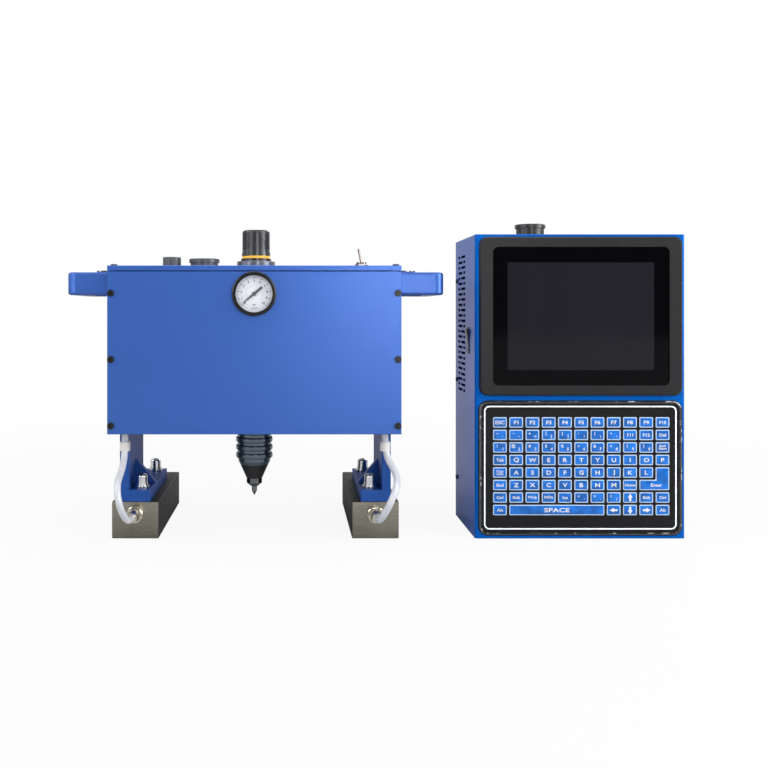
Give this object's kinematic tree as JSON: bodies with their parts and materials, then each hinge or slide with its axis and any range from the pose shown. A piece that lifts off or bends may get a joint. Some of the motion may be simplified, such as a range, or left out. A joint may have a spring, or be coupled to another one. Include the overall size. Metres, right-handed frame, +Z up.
{
  "type": "nameplate marking machine",
  "caption": "Desktop dot marking machine: a gantry head on magnet feet with gauge and air regulator, and a separate controller with screen and keyboard.",
  "frame": {"origin": "middle of the floor area under both units, on the floor", "axes": "+X from the marking head to the controller, +Y from the front to the back, +Z up"},
  "size_m": [0.7036, 0.2609, 0.359],
  "materials": {
    "anodised_blue": "blue anodised, fine satin grain",
    "paint_blue": "blue enamel, gloss",
    "black_steel": "black oxide",
    "bright_steel": "zinc plated and ground",
    "nickel": "nickel plated",
    "magnet_steel": "ground and nickel plated",
    "cable_jacket": "pale grey jacket",
    "black_plastic": "fine satin",
    "grey_plastic": "satin",
    "yellow_plastic": "satin",
    "pale_nylon": "natural, satin",
    "white_dial": "printed matte white",
    "pointer_black": "matte",
    "clear_glass": "clear",
    "dark_glass": "black backed, clear",
    "overlay_film": "printed film, blue keys",
    "chrome": "polished",
    "aluminium": "machined",
    "board": "green board",
    "hard_steel": "ground, dark point"
  },
  "bodies": {
    "head": {"front_cover": "anodised_blue", "top_plate": "anodised_blue", "rear_cover": "anodised_blue", "side_plates": "anodised_blue", "base_plate": "anodised_blue", "case_screws": "black_steel", "legs": "anodised_blue", "foot_bolts": "bright_steel", "foot_magnets": "magnet_steel", "cable_glands": "nickel", "magnet_cable_left": "cable_jacket", "magnet_cable_right": "cable_jacket", "cable_supports": "pale_nylon", "handles": "anodised_blue", "strap_brackets": "chrome", "gauge_case": "black_steel", "gauge_dial": "white_dial", "gauge_lens": "clear_glass", "regulator_body": "grey_plastic", "regulator_panel_nut": "grey_plastic", "toggle_body": "bright_steel", "head_sockets": "black_plastic", "y_rails": "bright_steel", "y_motor": "black_steel", "air_valve": "grey_plastic", "air_inlet": "nickel"},
    "y_gantry": {"y_blocks": "bright_steel", "x_beam": "aluminium", "x_motor": "black_steel"},
    "y_drive_screw": {"y_screw": "bright_steel"},
    "stylus_carriage": {"x_carriage": "aluminium", "stylus_clamp": "aluminium", "stylus_barrel": "bright_steel", "stylus_sleeve": "black_steel", "stylus_cone": "black_plastic", "stylus_nozzle": "nickel", "pin_spring": "bright_steel"},
    "x_drive_screw": {"x_screw": "bright_steel"},
    "pin": {"marking_pin": "hard_steel"},
    "spindle": {"regulator_spindle": "bright_steel"},
    "knob": {"regulator_knob": "black_plastic", "knob_ring": "yellow_plastic"},
    "needle": {"gauge_pointer": "pointer_black"},
    "toggle": {"toggle_lever": "chrome"},
    "left_strap_ring": {"strap_ring_left": "chrome"},
    "right_strap_ring": {"strap_ring_right": "chrome"},
    "controller": {"controller_housing": "paint_blue", "controller_rear_panel": "paint_blue", "controller_screws": "black_steel", "display_bezel": "black_plastic", "screen_glass": "dark_glass", "display_module": "grey_plastic", "keyboard_overlay": "overlay_film", "controller_electronics": "board", "fan_frame": "black_plastic", "power_rocker_body": "black_plastic", "controller_socket": "black_plastic", "mains_inlet": "black_plastic"},
    "fan": {"fan_rotor": "black_plastic"},
    "power_rocker": {"power_rocker_paddle": "black_plastic"}
  },
  "joints": [
    {"name": "y_travel", "type": "slide", "parent": "head", "child": "y_gantry", "axis": [0, 1, 0], "range_m": [-0.05, 0.05]},
    {"name": "x_travel", "type": "slide", "parent": "y_gantry", "child": "stylus_carriage", "axis": [1, 0, 0], "range_m": [-0.0718, 0.0782]},
    {"name": "y_screw_spin", "type": "hinge", "parent": "head", "child": "y_drive_screw", "pos_m": [-0.265, -0.0265, 0.261], "axis": [0, 1, 0], "range_deg": [-2260, 2260]},
    {"name": "x_screw_spin", "type": "hinge", "parent": "y_gantry", "child": "x_drive_screw", "pos_m": [-0.137, 0.005, 0.171], "axis": [1, 0, 0], "range_deg": [-3530, 3240]},
    {"name": "pin_strike", "type": "slide", "parent": "stylus_carriage", "child": "pin", "axis": [0, 0, -1], "range_m": [0, 0.006], "stiffness_N_per_m": 300, "springref_m": -0.01, "deforming": ["pin_spring"]},
    {"name": "knob_turn", "type": "hinge", "parent": "head", "child": "spindle", "pos_m": [-0.137, -0.057, 0.32], "axis": [0, 0, 1], "range_deg": [-2160, 0]},
    {"name": "knob_lock", "type": "slide", "parent": "spindle", "child": "knob", "axis": [0, 0, -1], "range_m": [0, 0.0025]},
    {"name": "gauge_needle", "type": "hinge", "parent": "head", "child": "needle", "pos_m": [-0.137, -0.116, 0.2767], "axis": [0, 1, 0], "range_deg": [0, 270], "stiffness_Nm_per_rad": 0.0002, "springref_deg": -28.65},
    {"name": "toggle_throw", "type": "hinge", "parent": "head", "child": "toggle", "pos_m": [-0.0152, -0.057, 0.312], "axis": [0, 1, 0], "range_deg": [0, 22.6]},
    {"name": "left_ring_swing", "type": "hinge", "parent": "head", "child": "left_strap_ring", "pos_m": [-0.3032, -0.056, 0.30355], "axis": [0, 1, 0], "range_deg": [0, 110]},
    {"name": "right_ring_swing", "type": "hinge", "parent": "head", "child": "right_strap_ring", "pos_m": [0.0292, -0.056, 0.30355], "axis": [0, -1, 0], "range_deg": [0, 110]},
    {"name": "controller_place", "type": "slide", "parent": "head", "child": "controller", "axis": [1, 0, 0], "range_m": [0, 0.3]},
    {"name": "fan_spin", "type": "hinge", "parent": "controller", "child": "fan", "pos_m": [0.286, 0.035, 0.285], "axis": [0, 1, 0], "continuous": true},
    {"name": "power_switch", "type": "hinge", "parent": "controller", "child": "power_rocker", "pos_m": [0.114, -0.038, 0.2235], "axis": [0, 1, 0], "range_deg": [0, 12]}
  ],
  "couplings": [
    {"joint": "y_screw_spin", "follows": "y_travel", "rad_per_m": -785.4},
    {"joint": "x_screw_spin", "follows": "x_travel", "rad_per_m": -785.4}
  ]
}
